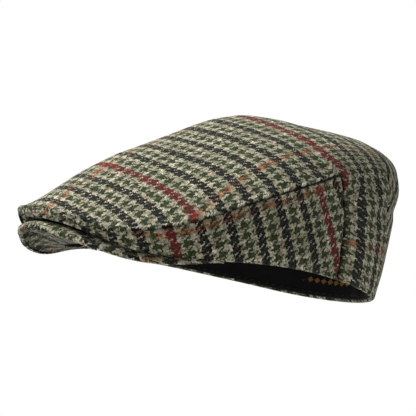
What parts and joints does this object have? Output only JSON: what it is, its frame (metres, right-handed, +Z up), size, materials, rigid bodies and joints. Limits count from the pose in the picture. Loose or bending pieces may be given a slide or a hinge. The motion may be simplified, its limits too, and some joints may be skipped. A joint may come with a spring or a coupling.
{
  "type": "newsboy cap",
  "caption": "Soft wool tweed flat cap with a one-piece top, two side panels, a short stiffened visor under a rolled front fold, a black lining and a sweatband.",
  "frame": {"origin": "centre of the head opening, in the plane of its rim", "axes": "+Z up through the crest, the visor towards -Y, the wearer's left towards +X"},
  "size_m": [0.1736, 0.2493, 0.1042],
  "materials": {
    "tweed": "brushed wool houndstooth tweed in cream, forest green and near-black with crimson and rust overchecks",
    "board": "matt flexible board",
    "interlining": "quilted felt interlining",
    "lining": "black satin lining",
    "tape": "black woven tape",
    "sweatband": "black woven cotton band",
    "label": "blank satin label",
    "ornament": "dull gold embroidery",
    "thread": "olive and cream sewing thread",
    "black_thread": "black sewing thread"
  },
  "bodies": {
    "root": {"top_panel": "tweed", "side_panel_left": "tweed", "side_panel_right": "tweed", "visor_top_cover": "tweed", "visor_under_cover": "tweed", "visor_board": "board", "crown_interlining": "interlining", "lining_top": "lining", "lining_left": "lining", "lining_right": "lining", "lining_seam_tape_left": "tape", "lining_seam_tape_right": "tape", "sweatband": "sweatband", "sweatband_back_join": "sweatband", "size_label": "label", "band_ornament": "ornament", "seam_stitching_left": "thread", "seam_stitching_right": "thread", "back_stitching": "thread", "sweatband_stitching": "black_thread", "visor_stitching": "thread", "front_tack": "thread"}
  },
  "joints": []
}
